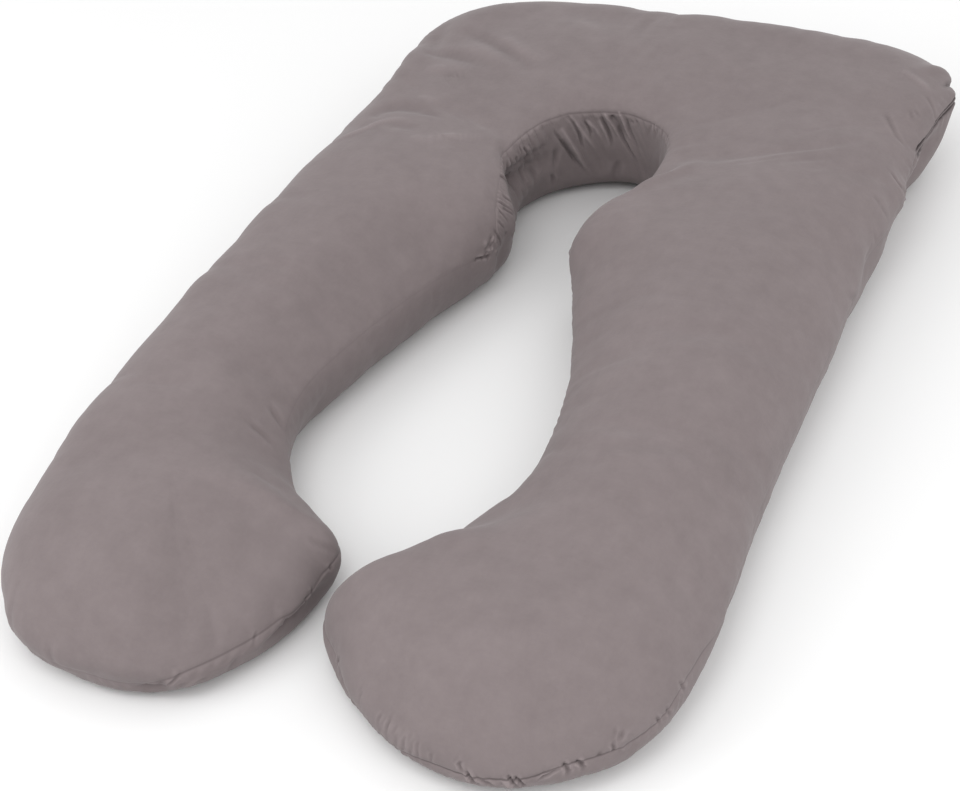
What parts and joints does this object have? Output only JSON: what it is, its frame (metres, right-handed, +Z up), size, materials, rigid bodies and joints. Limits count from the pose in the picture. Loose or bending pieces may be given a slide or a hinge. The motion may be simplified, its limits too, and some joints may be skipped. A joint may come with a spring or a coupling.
{
  "type": "body pillow",
  "caption": "U-shaped stuffed body pillow with a wide head, a keyhole for the neck and two long legs that curl in at the feet.",
  "frame": {"origin": "middle of the pillow's outline, at the level of the bed that it lies on", "axes": "+X across the pillow to the right leg, +Y from the feet towards the head, +Z up"},
  "size_m": [0.8062, 1.4104, 0.172],
  "materials": {
    "cover": "brushed cotton, matt"
  },
  "bodies": {
    "root": {"pillow": "cover"}
  },
  "joints": []
}
